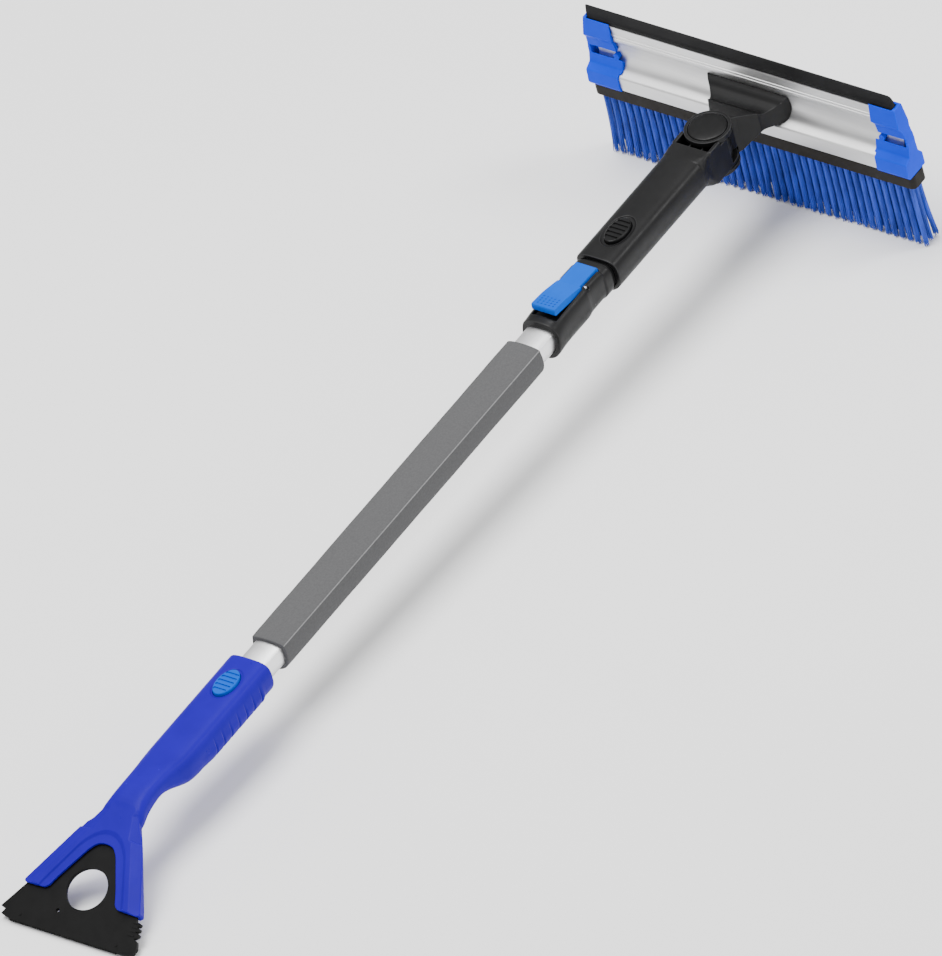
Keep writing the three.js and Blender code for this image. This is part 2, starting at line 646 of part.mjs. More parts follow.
// Brush bar: its tongue slides in the extrusion's lower channel, and its slots hold the bristles
const barPlan = [];
const barCornerY = barHalfLength - 4;
const barCorners = [[52.2, barCornerY], [44.7, barCornerY], [44.7, -barCornerY], [52.2, -barCornerY]];
for (const [start, [cx, cy]] of barCorners.entries()) {
  for (let i = 0; i <= 4; i += 1) {
    const angle = (start + i / 4) * Math.PI / 2;
    barPlan.push([cx + Math.cos(angle) * 4, cy + Math.sin(angle) * 4]);
  }
}
const bristleRows = [['front', 44.4], ['middle', 48.6], ['rear', 52.8]];
const bar = cut(
  join(
    planProfile(barPlan, barBottom, barTop),
    block(45.6, 51.4, -125, 125, barTop - 0.4, -20.4),
    block(42.8, 54.2, -125, 125, -20.5, -15.5),
  ),
  ...bristleRows.map(([, x]) => block(x - 1.7, x + 1.7, -bristleHalfLength - gap, bristleHalfLength + gap, -40, -27)),
);
add('brush_bar', toGeometry(bar), 0x2a2726, 0.55, 0);

for (const [name, x] of bristleRows) {
  const spread = (x - 48.6) * 0.35;
  const bristles = sideProfile([
    [x - 1.4, -27.3], [x - 1.4, -34.5], [x - 1.8 + spread, bristleTip], [x + 1.8 + spread, bristleTip],
    [x + 1.4, -34.5], [x + 1.4, -27.3],
  ], -bristleHalfLength, bristleHalfLength);
  add(`bristles_${name}`, toGeometry(bristles), 0x1d4fb8, 0.6, 0);
}

// Bracket: a hub in the cradle, a ring above it, a plate below it, and a neck out to the head
function neckSection(x, halfWidth, top, bottom) {
  const corner = 1.4;
  const inner = halfWidth - corner;
  return [
    [x, inner, top], [x, -inner, top], [x, -halfWidth, top - corner], [x, -halfWidth, bottom + corner],
    [x, -inner, bottom], [x, inner, bottom], [x, halfWidth, bottom + corner], [x, halfWidth, top - corner],
  ];
}
const neck = loft([
  neckSection(7, 8.6, 13.4, -18.2),
  neckSection(14, 8.8, 13.2, -18.2),
  neckSection(17.5, 11, 12.4, -17.4),
  neckSection(28.5, 20.5, 9, -7.8),
  neckSection(31.5, 22.5, 6.6, -7.2),
  neckSection(36, 25.6, 6, -7.6),
  neckSection(41, 29, 7.4, -8.2),
  neckSection(45, 33, 10.8, -8.8),
  neckSection(49.6, 33, 11.6, -9.2),
]);
const lowerLip = sideProfile([
  [60, -26], [39, -26], [39, -12], ...webFront.map(([x, z]) => [x - gap, z]).reverse(), [47.7, 15], [60, 15],
], -60, 60);
const bracket = cut(
  join(
    rodZ(0, 0, hubRadius, -12.1, 11.5),
    rodZ(0, 0, ringRadius, 10.9, 14.8, 36),
    rodZ(0, 0, ringRadius, -18.2, -15.3, 32),
    neck,
  ),
  lowerLip,
  rodZ(0, 0, ringRadius + 0.3, -15.3, cradleFloorTop + gap, 32),
  rodZ(0, 0, discRadius + 0.5, 12.3, 20, 36),
  rodZ(0, 0, 9.6, -5, 13),
  rodZ(0, 0, 3.3, -20, 0, 20),
  ...screwY.map((y) => rodX(y, 4, 1.7, Math.abs(y) > 20 ? 42 : 36, 50)),
);
black('head_bracket', toGeometry(bracket));

screwY.forEach((y, i) => {
  const shank = rodX(y, 4, 1.4, Math.abs(y) > 20 ? 42.6 : 36.6, 52.6, 12);
  steel(`bracket_screw_${i + 1}`, toGeometry(join(shank, rodX(y, 4, 3.4, 51.9, 54.4, 14))));
});

// Pivot: bolt, washer and nut through hub, cradle floor and lower plate, with a sprung button on top
const nut = new THREE.CylinderGeometry(5.4, 5.4, 3.5, 6);
nut.rotateX(Math.PI / 2);
nut.translate(0, 0, -21.5);
steel('pivot_bolt', toGeometry(join(rodZ(0, 0, 3, -24, -4, 20), rodZ(0, 0, 5.6, -4.7, -1.6, 20))));
steel('pivot_washer', toGeometry(cut(rodZ(0, 0, 6.6, -19.4, -18.5, 20), rodZ(0, 0, 3.3, -20, -18, 20))));
steel('pivot_nut', toGeometry(cut(toSolid(nut), rodZ(0, 0, 3.3, -24, -19, 20))));

const discDome = new THREE.LatheGeometry([
  new THREE.Vector2(0, 7), new THREE.Vector2(8.8, 7), new THREE.Vector2(8.8, 14), new THREE.Vector2(discRadius, 14),
  new THREE.Vector2(discRadius, 14.7), new THREE.Vector2(12.6, 15.3), new THREE.Vector2(8, discTop - 0.2),
  new THREE.Vector2(0, discTop),
], 36);
discDome.rotateX(Math.PI / 2);
black('pivot_button', toGeometry(cut(toSolid(discDome), rodZ(0, 0, 7.4, 6, 13))));
steel('pivot_spring', coil(0, 0, 5.2, 0.5, -1.2, 12.7, 4));

// The resting lean, worked out from the two places that touch the ground
const bladeTipX = hangHoleX - 36 * Math.cos(forkTilt);
const bladeTipZ = hangHoleZ - 36 * Math.sin(forkTilt) - bladeThickness / 2;
const lean = Math.atan2(bladeTipZ - bristleTip, 50 - bladeTipX);
tool.rotation.y = -lean;
tool.updateMatrixWorld(true);
const box = new THREE.Box3().setFromObject(tool, true);
tool.position.set(-(box.min.x + box.max.x) / 2, -(box.min.y + box.max.y) / 2, -box.min.z);
group.updateMatrixWorld(true);

export default group;
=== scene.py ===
"""Snow brush scraper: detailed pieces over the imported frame, with their materials, light and camera."""
import json
import math
import random

import bmesh
import bpy
from mathutils import Matrix, Vector


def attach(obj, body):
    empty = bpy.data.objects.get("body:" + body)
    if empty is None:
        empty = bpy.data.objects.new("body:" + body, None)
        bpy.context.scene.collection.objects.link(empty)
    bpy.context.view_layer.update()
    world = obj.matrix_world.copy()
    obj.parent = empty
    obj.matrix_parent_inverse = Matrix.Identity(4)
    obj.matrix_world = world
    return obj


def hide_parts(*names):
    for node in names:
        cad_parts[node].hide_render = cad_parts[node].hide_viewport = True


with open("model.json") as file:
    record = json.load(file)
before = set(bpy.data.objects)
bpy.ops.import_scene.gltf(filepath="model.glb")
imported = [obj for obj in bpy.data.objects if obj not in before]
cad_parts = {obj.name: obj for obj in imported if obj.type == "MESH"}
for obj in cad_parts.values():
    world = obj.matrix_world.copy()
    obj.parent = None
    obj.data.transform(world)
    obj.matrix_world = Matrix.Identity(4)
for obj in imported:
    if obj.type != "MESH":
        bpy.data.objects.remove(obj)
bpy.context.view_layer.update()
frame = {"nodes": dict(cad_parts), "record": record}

# ---------------------------------------------------------------- the tool's own frame
# Pieces are drawn in millimetres in the tool's frame: X along the pole, with the head pivot at X = 0,
# Z up and Y to the left. The head pivot's joint says where that frame lies in the row.
JOINTS = {j["name"]: j for j in frame["record"]["behaviour"]["joints"]}
pole_axis = Vector(JOINTS["telescope_slide"]["axis"])
up_axis = Vector(JOINTS["head_pivot"]["axis"])
pivot = Vector(JOINTS["head_pivot"]["pos_m"])
side_axis = up_axis.cross(pole_axis)
TOOL = Matrix.Translation(pivot) @ Matrix((pole_axis, side_axis, up_axis)).transposed().to_4x4()
MM = TOOL @ Matrix.Scale(0.001, 4)


# ---------------------------------------------------------------- mesh tools
def new_object(name, verts, faces):
    mesh = bpy.data.meshes.new(name)
    mesh.from_pydata([tuple(v) for v in verts], [], faces)
    mesh.validate()
    obj = bpy.data.objects.new(name, mesh)
    bpy.context.scene.collection.objects.link(obj)
    bm = bmesh.new()
    bm.from_mesh(mesh)
    bmesh.ops.recalc_face_normals(bm, faces=bm.faces)
    bm.to_mesh(mesh)
    bm.free()
    return obj


def apply_modifiers(obj):
    graph = bpy.context.evaluated_depsgraph_get()
    mesh = bpy.data.meshes.new_from_object(obj.evaluated_get(graph))
    old = obj.data
    obj.modifiers.clear()
    obj.data = mesh
    bpy.data.meshes.remove(old)
    return obj


def boolean(obj, tools, operation):
    for tool in tools:
        mod = obj.modifiers.new("b", "BOOLEAN")
        mod.operation = operation
        mod.solver = "EXACT"
        mod.object = tool
        apply_modifiers(obj)
        bpy.data.objects.remove(tool)
    return obj


def cut(obj, *tools):
    return boolean(obj, tools, "DIFFERENCE")


def join(obj, *tools):
    return boolean(obj, tools, "UNION")


def soften(obj, voxel, smooth=3, keep=1.0):
    """Remeshes a piece finely and eases its edges, as a mould does."""
    mod = obj.modifiers.new("r", "REMESH")
    mod.mode = "VOXEL"
    mod.voxel_size = voxel * 1.0
    mod.adaptivity = 0.0
    mod = obj.modifiers.new("s", "SMOOTH")
    mod.factor = 0.5
    mod.iterations = smooth
    if keep < 1:
        mod = obj.modifiers.new("d", "DECIMATE")
        mod.ratio = keep
    return apply_modifiers(obj)


def bevel(obj, width, segments=2, angle=28):
    mod = obj.modifiers.new("v", "BEVEL")
    mod.width = width
    mod.segments = segments
    mod.limit_method = "ANGLE"
    mod.angle_limit = math.radians(angle)
    mod.harden_normals = False
    return apply_modifiers(obj)


def loft(name, rings, close=False):
    count = len(rings[0])
    verts = [p for ring in rings for p in ring]
    faces = []
    for r in range(len(rings) - (0 if close else 1)):
        a = r * count
        b = ((r + 1) % len(rings)) * count
        for i in range(count):
            j = (i + 1) % count
            faces.append((a + i, a + j, b + j, b + i))
    if not close:
        faces.append(tuple(range(count)))
        faces.append(tuple(reversed(range(len(verts) - count, len(verts)))))
    return new_object(name, verts, faces)


def prism(name, points, low, high, place):
    """An outline made solid from low to high; place turns (a, b, height) into a point."""
    rings = [[place(a, b, h) for a, b in points] for h in (low, high)]
    return loft(name, rings)


def side_prism(name, points, y0, y1):
    return prism(name, points, y0, y1, lambda a, b, h: (a, h, b))


def plan_prism(name, points, z0, z1):
    return prism(name, points, z0, z1, lambda a, b, h: (a, b, h))


def block(x0, x1, y0, y1, z0, z1):
    return plan_prism("block", [(x0, y0), (x1, y0), (x1, y1), (x0, y1)], z0, z1)


def oval(x, y, length, width, count=64):
    turn = 2 * math.pi / count
    return [(x + math.cos(i * turn) * length / 2, y + math.sin(i * turn) * width / 2) for i in range(count)]


def rod_z(x, y, radius, z0, z1, count=64):
    return plan_prism("rod", oval(x, y, radius * 2, radius * 2, count), z0, z1)


def rod_x(y, z, radius, x0, x1, count=32):
    return prism("rod", oval(y, z, radius * 2, radius * 2, count), x0, x1, lambda a, b, h: (h, a, b))


def rod_y(x, z, radius, y0, y1, count=32):
    return prism("rod", oval(x, z, radius * 2, radius * 2, count), y0, y1, lambda a, b, h: (a, h, b))


def curve_through(points, steps):
    """A smooth open line through the points."""
    out = []
    for i in range(len(points) - 1):
        p0 = points[max(i - 1, 0)]
        p1, p2 = points[i], points[i + 1]
        p3 = points[min(i + 2, len(points) - 1)]
        for s in range(steps):
            t = s / steps
            out.append(tuple(
                0.5 * (2 * b + (c - a) * t + (2 * a - 5 * b + 4 * c - d) * t * t + (3 * b - a - 3 * c + d) * t ** 3)
                for a, b, c, d in zip(p0, p1, p2, p3)))
    out.append(tuple(points[-1]))
    return out


def rounded(points, radius, steps=4):
    """An outline with each corner rounded; radius is one number or one for each corner."""
    out = []
    n = len(points)
    for i, corner in enumerate(points):
        r = radius[i] if isinstance(radius, (list, tuple)) else radius
        corner = Vector(corner)
        back = Vector(points[i - 1]) - corner
        ahead = Vector(points[(i + 1) % n]) - corner
        reach = min(r, back.length * 0.45, ahead.length * 0.45)
        if reach < 0.02:
            out.append(tuple(corner))
            continue
        a = corner + back.normalized() * reach
        b = corner + ahead.normalized() * reach
        for s in range(steps + 1):
            t = s / steps
            out.append(tuple(a * (1 - t) ** 2 + corner * 2 * t * (1 - t) + b * t * t))
    return out


def grip_ring(x, half_width, top, bottom, middle=0.0, top_power=4.0, bottom_power=2.0, ridge=0.0, count=112):
    ring = []
    for i in range(count):
        angle = math.pi / 2 + i / count * math.tau
        c, s = math.cos(angle), math.sin(angle)
        power = top_power if s >= 0 else bottom_power
        height = top - middle if s >= 0 else middle - bottom
        reach = (abs(c) ** power + abs(s) ** power) ** (-1 / power)
        finger = 0 if c > 0 else ridge * max(0, math.cos(angle - math.pi * 1.12)) ** 6
        ring.append((x, c * reach * (half_width + finger), middle + s * reach * (height + finger)))
    return ring


def grip(name, keys, steps=6, count=112):
    """A lofted grip through the key sections (x, half width, top, bottom, middle, powers)."""
    return loft(name, [grip_ring(*k, count=count) for k in (curve_through(keys, steps) if steps > 1 else keys)])


def tube_ring(x, grow, crease=0.9):
    """The tube's section: a low crown over two soft creases, upright sides and a round bottom."""
    half, crown, bottom = 11.3 + grow, 9 + grow, -12 - grow
    crease_y, crease_z = 10.4 + grow * 0.94, 7.4 + grow * 0.9
    top = [(math.sin(t * 1.15) / math.sin(1.15) * crease_y,
            crease_z + (crown - crease_z) * (1 - t * t)) for t in [i / 7 - 1 for i in range(15)]]
    side = [(half, crease_z * 0.35)]
    lower = [(math.cos(i / 28 * math.pi) * half, -math.sin(i / 28 * math.pi) * -bottom) for i in range(29)]
    ring = rounded(top + side + lower + [(-half, crease_z * 0.35)],
                   [crease if i in (0, 14) else (1.5 if i in (15, 45) else 0.0) for i in range(46)], 5)
    return [(x, y, z) for y, z in ring]


def tube(name, grow, x0, x1, rim=0.0):
    if rim <= 0:
        return loft(name, [tube_ring(x0, grow), tube_ring(x1, grow)])
    steps = [(0.0, 1.0), (0.3, 0.45), (1.0, 0.0)]
    rings = [tube_ring(x0 + a * rim, grow - b * rim) for a, b in steps]
    rings += [tube_ring(x1 - a * rim, grow - b * rim) for a, b in reversed(steps)]
    return loft(name, rings)


def done(obj, name, body, nodes, material, smooth_angle=35, place=MM):
    """Puts a finished piece in the row's frame, gives it its material and body, and hides the CAD nodes it stands in
    for.
    """
    obj.name = name
    obj.data.name = name
    obj.data.transform(place)
    obj.data.update()
    obj.data.materials.clear()
    obj.data.materials.append(material)
    obj.data.shade_smooth()
    if smooth_angle < 180:
        obj.data.set_sharp_from_angle(angle=math.radians(smooth_angle))
    if smooth_angle < 50:
        mod = obj.modifiers.new("n", "WEIGHTED_NORMAL")
        mod.keep_sharp = True
        mod.weight = 100
        apply_modifiers(obj)
        obj.data.name = name
    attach(obj, body)
    if nodes:
        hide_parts(*nodes)
    return obj


# ---------------------------------------------------------------- materials
class Look:
    """A node material built step by step."""

    def __init__(self, name, rough, metallic=0.0, specular=0.5):
        self.mat = bpy.data.materials.new(name)
        self.mat.use_nodes = True
        self.tree = self.mat.node_tree
        self.out = self.tree.nodes["Material Output"]
        self.shader = self.tree.nodes["Principled BSDF"]
        self.shader.inputs["Roughness"].default_value = rough
        self.shader.inputs["Metallic"].default_value = metallic
        self.shader.inputs["Specular IOR Level"].default_value = specular
        self.coords = self.tree.nodes.new("ShaderNodeTexCoord").outputs["Object"]
        self.normal = None
        self.base = None

    def node(self, kind, **inputs):
        made = self.tree.nodes.new(kind)
        for key, value in inputs.items():
            made.inputs[key.replace("_", " ")].default_value = value
        return made

    def link(self, a, b):
        self.tree.links.new(a, b)

    def noise(self, scale, stretch=(1, 1, 1), detail=4.0, roughness=0.55):
        mapping = self.node("ShaderNodeMapping")
        mapping.inputs["Scale"].default_value = stretch
        self.link(self.coords, mapping.inputs["Vector"])
        made = self.node("ShaderNodeTexNoise", Scale=scale, Detail=detail, Roughness=roughness)
        self.link(mapping.outputs["Vector"], made.inputs["Vector"])
        return made.outputs["Fac"]

    def cells(self, scale, stretch=(1, 1, 1)):
        mapping = self.node("ShaderNodeMapping")
        mapping.inputs["Scale"].default_value = stretch
        self.link(self.coords, mapping.inputs["Vector"])
        made = self.node("ShaderNodeTexVoronoi", Scale=scale)
        self.link(mapping.outputs["Vector"], made.inputs["Vector"])
        return made.outputs["Distance"]

    def ramp(self, value, low, high, a, b):
        """Maps value, from low..high, to a..b."""
        made = self.node("ShaderNodeMapRange", From_Min=low, From_Max=high, To_Min=a, To_Max=b)
        self.link(value, made.inputs["Value"])
        return made.outputs["Result"]

    def color(self, value, dark, light, low=0.35, high=0.65):
        made = self.tree.nodes.new("ShaderNodeValToRGB")
        made.color_ramp.elements[0].position = low
        made.color_ramp.elements[1].position = high
        made.color_ramp.elements[0].color = (*dark, 1)
        made.color_ramp.elements[1].color = (*light, 1)
        self.link(value, made.inputs["Fac"])
        self.base = made.outputs["Color"]
        self.link(self.base, self.shader.inputs["Base Color"])

    def paint_edge_highlight_and_corner_shade(self, gain, edge_highlight_gain=0.8, reach=0.06):
        """Painted highlight on the outer edges and painted shade in the inner corners, found from the mesh's
        pointiness.
        """
        shape = self.tree.nodes.new("ShaderNodeNewGeometry").outputs["Pointiness"]
        made = self.node("ShaderNodeVectorMath")
        made.operation = "SCALE"
        self.link(self.base, made.inputs[0])
        both = self.node("ShaderNodeMath")
        both.operation = "MULTIPLY"
        self.link(self.ramp(shape, 0.5 - reach, 0.5, 1 - gain * 0.8, 1), both.inputs[0])
        self.link(self.ramp(shape, 0.512, 0.5 + reach, 1, 1 + gain * edge_highlight_gain), both.inputs[1])
        self.link(both.outputs["Value"], made.inputs["Scale"])
        self.link(made.outputs["Vector"], self.shader.inputs["Base Color"])

    def rough(self, value, low, high, a, b):
        self.link(self.ramp(value, low, high, a, b), self.shader.inputs["Roughness"])

    def bump(self, value, height, strength=1.0):
        made = self.node("ShaderNodeBump", Strength=strength, Distance=height)
        self.link(value, made.inputs["Height"])
        if self.normal is not None:
            self.link(self.normal, made.inputs["Normal"])
        self.normal = made.outputs["Normal"]
        self.link(self.normal, self.shader.inputs["Normal"])


def tone(color, factor):
    return tuple(c * factor for c in color)


def plastic(name, color, rough=0.42, grain=0.00003, specular=0.5, spread=0.06, edge_light_paint=0.0, edge_highlight_gain=0.8):
    """Moulded plastic: a fine spark-eroded grain, slow mottling, and scuffs that change its gloss."""
    look = Look(name, rough, specular=specular)
    mottle = look.noise(45, detail=3)
    look.color(mottle, tone(color, 1 - spread), tone(color, 1 + spread))
    look.rough(look.noise(160, detail=5), 0.3, 0.7, rough - 0.05, rough + 0.07)
    look.bump(look.noise(1500, detail=2), grain)
    # A painted highlight on the outer edges and painted shade in the inner corners
    if edge_light_paint:
        look.paint_edge_highlight_and_corner_shade(edge_light_paint, edge_highlight_gain)
    return look.mat


ROYAL = (0.016, 0.0, 0.30)
AZURE = (0.0, 0.088, 0.54)
CAP = (0.0, 0.042, 0.70)
BLACK = (0.0075, 0.0075, 0.0078)

# The edge settings on these plastics paint a highlight on outer edges and shade in inner corners
black_plastic = plastic("black_moulded_plastic", BLACK, 0.38, specular=0.17, spread=0.12, edge_light_paint=1.0, edge_highlight_gain=4.5)
disc_plastic = plastic("black_button_plastic", tone(BLACK, 0.8), 0.34, specular=0.18, spread=0.12)
blade_plastic = plastic("black_blade_plastic", (0.004, 0.004, 0.004), 0.5, specular=0.09, spread=0.12)
bar_plastic = plastic("brush_bar_plastic", (0.0115, 0.0095, 0.008), 0.55, specular=0.12, spread=0.12)
royal_plastic = plastic("royal_blue_plastic", ROYAL, 0.32, specular=0.045, spread=0.05, edge_light_paint=0.5)
azure_plastic = plastic("azure_plastic", AZURE, 0.45, specular=0.02, spread=0.04)
cap_plastic = plastic("cap_blue_plastic", CAP, 0.42, specular=0.05, spread=0.05, edge_light_paint=0.4)


def metal(name, color, rough, along, bump=0.000004, contrast=0.12):
    """Brushed and anodised aluminium: fine lines along the draw direction, with slow smudges."""
    look = Look(name, rough, metallic=1.0)
    lines = look.noise(2600, stretch=along, detail=6, roughness=0.7)
    look.color(lines, tone(color, 1 - contrast), color, 0.3, 0.7)
    look.rough(look.noise(30, detail=3), 0.3, 0.7, rough - 0.05, rough + 0.08)
    look.bump(lines, bump)
    return look.mat


tube_metal = metal("anodised_tube", (0.88, 0.88, 0.89), 0.34, (0.02, 1, 1))
rail_metal = metal("extruded_aluminium", (0.70, 0.70, 0.70), 0.42, (1, 0.02, 1), contrast=0.1)
steel = metal("zinc_plated_steel", (0.66, 0.66, 0.68), 0.3, (1, 1, 1), contrast=0.05)

look = Look("black_rubber", 0.6, specular=0.12)
look.color(look.noise(60, detail=3), (0.0085, 0.0085, 0.009), (0.0125, 0.0125, 0.013))
look.bump(look.noise(900, stretch=(1, 0.3, 1), detail=3), 0.00004)
rubber = look.mat

look = Look("grey_foam", 0.9, specular=0.08)
look.color(look.noise(700, detail=4), (0.083, 0.083, 0.085), (0.097, 0.097, 0.099), 0.3, 0.7)
look.bump(look.noise(90, detail=3), 0.00025)
look.bump(look.cells(1300), 0.00006)
foam_look = look.mat

# A lighter copy of the foam, painted along its crease as a highlight
look = Look("grey_foam_painted_crease_highlight", 0.85, specular=0.1)
look.color(look.noise(700, detail=4), (0.17, 0.17, 0.172), (0.22, 0.22, 0.222), 0.3, 0.7)
look.bump(look.cells(1300), 0.0001)
crease_highlight_look = look.mat

look = Look("blue_filament", 0.45, specular=0.12)
look.color(look.noise(220, stretch=(1, 1, 0.25), detail=3), (0.024, 0.056, 0.34), (0.04, 0.094, 0.6), 0.35, 0.65)
look.rough(look.noise(500, detail=2), 0.3, 0.7, 0.35, 0.5)
filament = look.mat


# ---------------------------------------------------------------- pole
outer_tube = cut(tube("t", 0, -640, -162), tube("t", -1.2, -642, -160))
cut(outer_tube, plan_prism("o", oval(-585, 0, 25.8, 15.8), 0, 20))
done(outer_tube, "outer_tube_skin", "pole", ["outer_tube"], tube_metal, 25)

inner_tube = cut(tube("t", -1.6, -520, -45), tube("t", -2.7, -522, -43))
cut(inner_tube, plan_prism("o", oval(-110, 0, 25.8, 15.8), 0, 20))
done(inner_tube, "inner_tube_skin", "extension", ["inner_tube"], tube_metal, 25)

# The foam sleeve: slightly wavy along its length, with rounded ends and a cut bore
FOAM_START, FOAM_END = -537, -226
FOAM_RIM = [(0.0, 0.9), (0.25, 0.35), (0.8, 0.0)]
rings = [tube_ring(FOAM_START + inset, 2.9 - drop, 0.45) for inset, drop in FOAM_RIM]
for i in range(1, 40):
    swell = 0.10 * math.sin(i * 0.55) + 0.06 * math.sin(i * 1.7 + 1)
    rings.append(tube_ring(FOAM_START + (FOAM_END - FOAM_START) * i / 40, 2.95 + swell * 0.5, 0.45))
rings += [tube_ring(FOAM_END - inset, 2.9 - drop, 0.45) for inset, drop in reversed(FOAM_RIM)]
foam = cut(loft("f", rings), tube("t", 0.12, FOAM_START - 2, FOAM_END + 2))
done(foam, "foam_grip_soft", "pole", ["foam_grip"], foam_look, 40)

# A painted highlight: a lighter copy of the foam on the faces along the crease on the foam's right side
foam.data.materials.append(crease_highlight_look)
to_tool = MM.inverted()
for face in foam.data.polygons:
    spot = to_tool @ face.center
    if abs(spot.y + 13.05) < 0.3 and abs(spot.z - 9.95) < 0.42:
        face.material_index = 1

# Lock housing: its front end slants, its rear is narrower, and a collar at the rear reaches into the sleeve
housing = grip("h", [
    (-210, 15.4, 14.2, -15.0, 0, 2.9), (-209.2, 15.7, 14.5, -15.3, 0, 2.9), (-206, 15.6, 14.6, -15.2, 0, 3.0),
    (-200, 15.1, 14.9, -14.6, 0, 3.5), (-192, 14.8, 15.2, -14.3, 0, 4), (-180, 14.8, 15.4, -14.3, 0, 4.6),
    (-171, 14.8, 15.4, -14.3, 0, 5), (-168.5, 14.5, 15.4, -14, 0, 5), (-165.5, 13.9, 15.3, -13.5, 0, 5),
    (-160, 13.8, 15.2, -13.4, 0, 5), (-149, 13.8, 14.6, -13.2, 0, 5)], steps=2)
for vertex in housing.data.vertices:
    high = min(1, max(0, (vertex.co.z + 8) / 14))
    near_front = min(1, max(0, (-200 - vertex.co.x) / 10))
    vertex.co.x += 2.6 * high * near_front
flange = grip("h", [(-149.5, 14.3, 13.3, -13.6), (-148.6, 14.6, 13.6, -13.9), (-142, 14.6, 13.4, -13.9),
                    (-141, 14.3, 13.1, -13.6)], steps=1)
collar = grip("h", [(-143, 13.2, 10.6, -12.6), (-134, 13.2, 10.6, -12.6)], steps=1)
join(housing, flange, collar)
cut(housing, tube("t", 0.3, -211, -161.7), tube("t", -1.25, -163, -133),
    plan_prism("p", rounded([(-201.2, -10.1), (-167.6, -10.1), (-167.6, 10.1), (-201.2, 10.1)], 1.2), 10.4, 30),
    plan_prism("p", rounded([(-169, -8.9), (-146.2, -8.9), (-146.2, 8.9), (-169, 8.9)], 1.0), 10.2, 30),
    block(-153.6, -147.2, -4.4, 4.4, 5, 12), rod_y(-165, 13.2, 1.55, -20, 20))
soften(housing, 0.4, 2)
done(housing, "lock_housing_moulding", "pole", ["lock_housing"], black_plastic, 60)

pin = rod_y(-165, 13.2, 1.25, -10.9, 10.9)
bevel(pin, 0.25)
done(pin, "lever_pin_steel", "pole", ["lever_pin"], steel)

# Lock lever: a wide thumb end with a dotted grip patch, and a narrow nose that holds the tooth
thumb = side_prism("l", rounded([
    (-199.4, 16.8), (-199.4, 22), (-186, 20.8), (-175, 18.4), (-168.5, 16.8), (-168.5, 11.3), (-173, 12.6),
    (-180, 14.4)], [0.8, 1.6, 3, 3, 0.4, 0.4, 2, 3]), -9.6, 9.6)
nose = side_prism("l", rounded([
    (-169, 16.9), (-147.4, 15.95), (-146.9, 12.2), (-148.8, 11.2), (-148.8, 7.75), (-153.2, 7.75), (-153.2, 11.3),
    (-169, 11.3)], [0.2, 1.2, 0.6, 0.4, 0.3, 0.3, 0.4, 0.4]), -8.4, 8.4)
cut(nose, block(-154, -148, -12, -4, 7, 10.9), block(-154, -148, 4, 12, 7, 10.9))
join(thumb, nose)
bevel(thumb, 0.5, 2, 40)
for row in range(4):
    for col in range(5):
        x, y = -196 + row * 2.5, -6.2 + col * 3.1
        thumb = join(thumb, rod_z(x, y, 0.62, 20, 22.35 - (x + 198) * 0.09, 12))
cut(thumb, rod_y(-165, 13.2, 1.33, -20, 20), rod_z(-190, 0, 3.4, 5, 17.6))
done(thumb, "lock_lever_moulding", "lever", ["lock_lever"], azure_plastic, 30)


# ---------------------------------------------------------------- sleeve and cradle
sleeve = grip("s", [
    (-138, 16.6, 13.3, -14.3), (-137.5, 17.05, 13.75, -14.75), (-136.5, 17.3, 14, -15), (-118, 17.3, 14, -15),
    (-80, 17.3, 14, -15), (-36, 17.3, 14, -15, 0, 4, 2), (-32, 17.1, 14, -15, 0, 4.8, 2.1),
    (-28, 16.6, 13.9, -15, 0, 7, 2.3), (-24, 15.8, 13.7, -15, 0, 14, 6),
    (-20, 15.7, 13.7, -15, 0, 18, 18)], steps=3)
join(sleeve, block(-20.5, -1, -15.7, 15.7, -15, 13.7))
inside = block(-20, 5, -13.1, 13.1, -12.4, 30)
cut(inside, block(-21, -14.6, 4.4, 5.6, -13, 9.8), block(-21, -14.6, -5.6, -4.4, -13, 9.8))
cut(sleeve, inside, rod_z(0, 0, 16.9, 10.6, 20, 96), block(-9, 10, -20, 20, 10.6, 20))
join(sleeve, rod_z(0, 0, 15.7, -15, -12.4))
bore = tube("t", -1.45, -142, -44.6)
mouth = grip("m", [(-139, 13.8, 11.2, -13.2), (-133, 13.8, 11.2, -13.2)], steps=1)
recess = plan_prism("r", oval(-110, 0, 31.5, 20.5), 13.1, 20)
cut(sleeve, bore, mouth, recess, plan_prism("o", oval(-110, 0, 25.8, 15.8), 0, 20), rod_z(0, 0, 3.4, -20, -10))
soften(sleeve, 0.42, 2)
done(sleeve, "sleeve_moulding", "extension", ["sleeve"], black_plastic, 60)


def push_button(x, flange_top, flange_width):
    """The oval pad on its flange, with five grooves cut across its top."""
    pad = plan_prism("b", oval(x, 0, 25, 15, 96), flange_top - 0.5, 15.8)
    bevel(pad, 0.9, 3, 50)
    grooves = []
    for i in range(-2, 3):
        reach = 6.3 * math.sqrt(1 - (i * 3.9 / 13.5) ** 2)
        outline = rounded([(x + i * 3.9 - 1.0, -reach), (x + i * 3.9 + 1.0, -reach),
                           (x + i * 3.9 + 1.0, reach), (x + i * 3.9 - 1.0, reach)], 0.9)
        grooves.append(plan_prism("g", outline, 15.0, 17))
    cut(pad, *grooves)
    flange = block(x - 15, x + 15, -flange_width / 2, flange_width / 2, flange_top - 1.5, flange_top)
    return join(pad, flange)


done(push_button(-110, 5, 11), "sleeve_button_pad", "sleeve_button", ["sleeve_button"], disc_plastic,
     35)


# ---------------------------------------------------------------- handle, fork and blade
def grip_key(x, half_width=17.3, top=14, bottom=-15, middle=0, top_power=4, bottom_power=2, ridge=0):
    return x, half_width, top, bottom, middle, top_power, bottom_power, ridge


